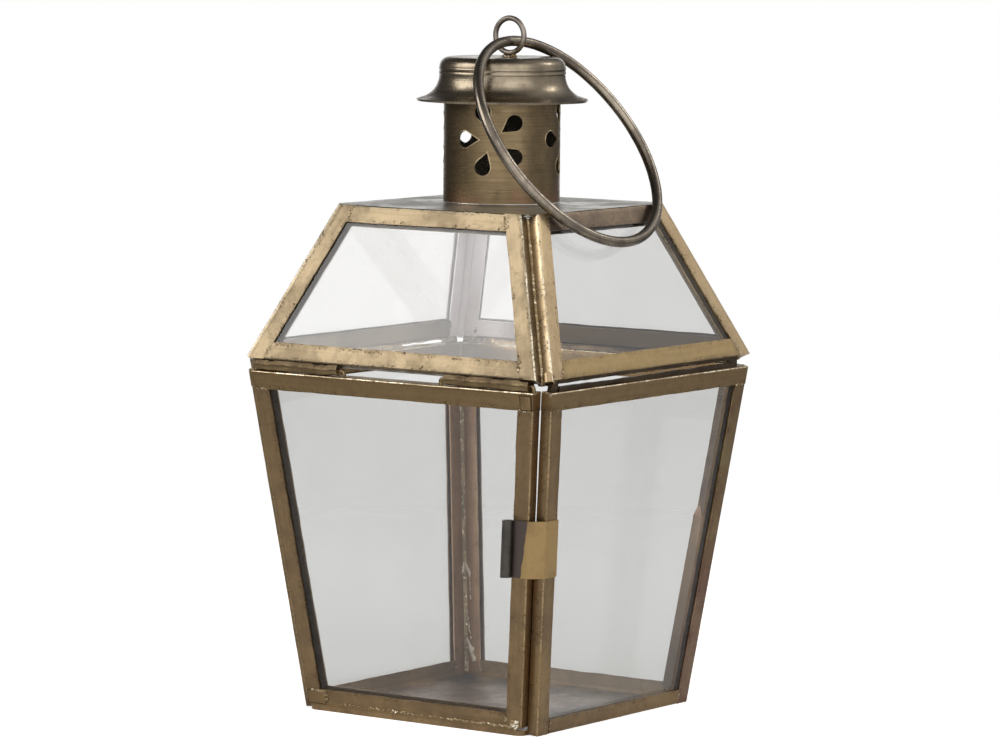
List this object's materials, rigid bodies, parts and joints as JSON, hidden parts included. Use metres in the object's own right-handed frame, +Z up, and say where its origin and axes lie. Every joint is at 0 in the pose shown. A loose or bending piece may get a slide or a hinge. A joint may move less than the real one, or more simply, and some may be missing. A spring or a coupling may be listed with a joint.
{
  "type": "candle lantern",
  "caption": "Aged brass candle lantern with tapered glass case, sloping glass roof, pierced chimney with flared cap, hanging ring, and a top-hinged glass door held by a spring clasp.",
  "frame": {"origin": "middle of the foot, on the surface that the lantern stands on", "axes": "+Z up, the door faces -Y, the clasp is on the +X side of the door"},
  "size_m": [0.1308, 0.1308, 0.2443],
  "materials": {
    "came_brass": "aged folded sheet brass with dark specks along its edges",
    "chimney_brass": "darkened brass with fine brushed lines around the tube",
    "ring_brass": "dark bronzed wire, satin",
    "plate_brass": "dull grey tarnished sheet",
    "clasp_brass": "satin strip, darker where it is bent",
    "solder": "uneven brass-coloured solder",
    "clear_glass": "clear flat glass"
  },
  "bodies": {
    "lantern": {"back_pane_bottom_rail": "came_brass", "back_pane_glass": "clear_glass", "back_pane_left_stile": "came_brass", "back_pane_right_stile": "came_brass", "back_pane_top_rail": "came_brass", "cap_eyelet": "ring_brass", "case_corner_solder": "solder", "chimney_cap": "chimney_brass", "chimney_collar": "chimney_brass", "chimney_tube": "chimney_brass", "crown_plate": "plate_brass", "eave_solder": "solder", "eyelet_solder": "solder", "floor_pan": "plate_brass", "hinge_tube_left": "came_brass", "hinge_tube_right": "came_brass", "left_pane_bottom_rail": "came_brass", "left_pane_glass": "clear_glass", "left_pane_left_stile": "came_brass", "left_pane_right_stile": "came_brass", "left_pane_top_rail": "came_brass", "right_pane_bottom_rail": "came_brass", "right_pane_glass": "clear_glass", "right_pane_left_stile": "came_brass", "right_pane_right_stile": "came_brass", "right_pane_top_rail": "came_brass", "roof_back_bottom_rail": "came_brass", "roof_back_glass": "clear_glass", "roof_back_left_stile": "came_brass", "roof_back_right_stile": "came_brass", "roof_back_top_rail": "came_brass", "roof_corner_solder": "solder", "roof_front_bottom_rail": "came_brass", "roof_front_glass": "clear_glass", "roof_front_left_stile": "came_brass", "roof_front_right_stile": "came_brass", "roof_front_top_rail": "came_brass", "roof_left_bottom_rail": "came_brass", "roof_left_glass": "clear_glass", "roof_left_left_stile": "came_brass", "roof_left_right_stile": "came_brass", "roof_left_top_rail": "came_brass", "roof_right_bottom_rail": "came_brass", "roof_right_glass": "clear_glass", "roof_right_left_stile": "came_brass", "roof_right_right_stile": "came_brass", "roof_right_top_rail": "came_brass"},
    "door": {"door_bottom_rail": "came_brass", "door_glass": "clear_glass", "door_left_stile": "came_brass", "door_right_stile": "came_brass", "door_top_rail": "came_brass", "hinge_wire_left": "came_brass", "hinge_wire_right": "came_brass"},
    "ring": {"handle_ring": "ring_brass"},
    "clasp": {"door_clasp": "clasp_brass"}
  },
  "joints": [
    {"name": "door_hinge", "type": "hinge", "parent": "lantern", "child": "door", "pos_m": [0, -0.06378, 0.12236], "axis": [-1, 0, 0], "range_deg": [0, 105], "deforming": ["door_clasp"]},
    {"name": "handle_swing", "type": "hinge", "parent": "lantern", "child": "ring", "pos_m": [0.004, 0, 0.23538], "axis": [0, -1, 0], "range_deg": [0, 275]},
    {"name": "clasp_flex", "type": "hinge", "parent": "lantern", "child": "clasp", "pos_m": [0.05715, -0.04688, 0.056], "axis": [0.1205, -0.1205, 0.9854], "range_deg": [0, 35], "stiffness_Nm_per_rad": 0.02}
  ]
}
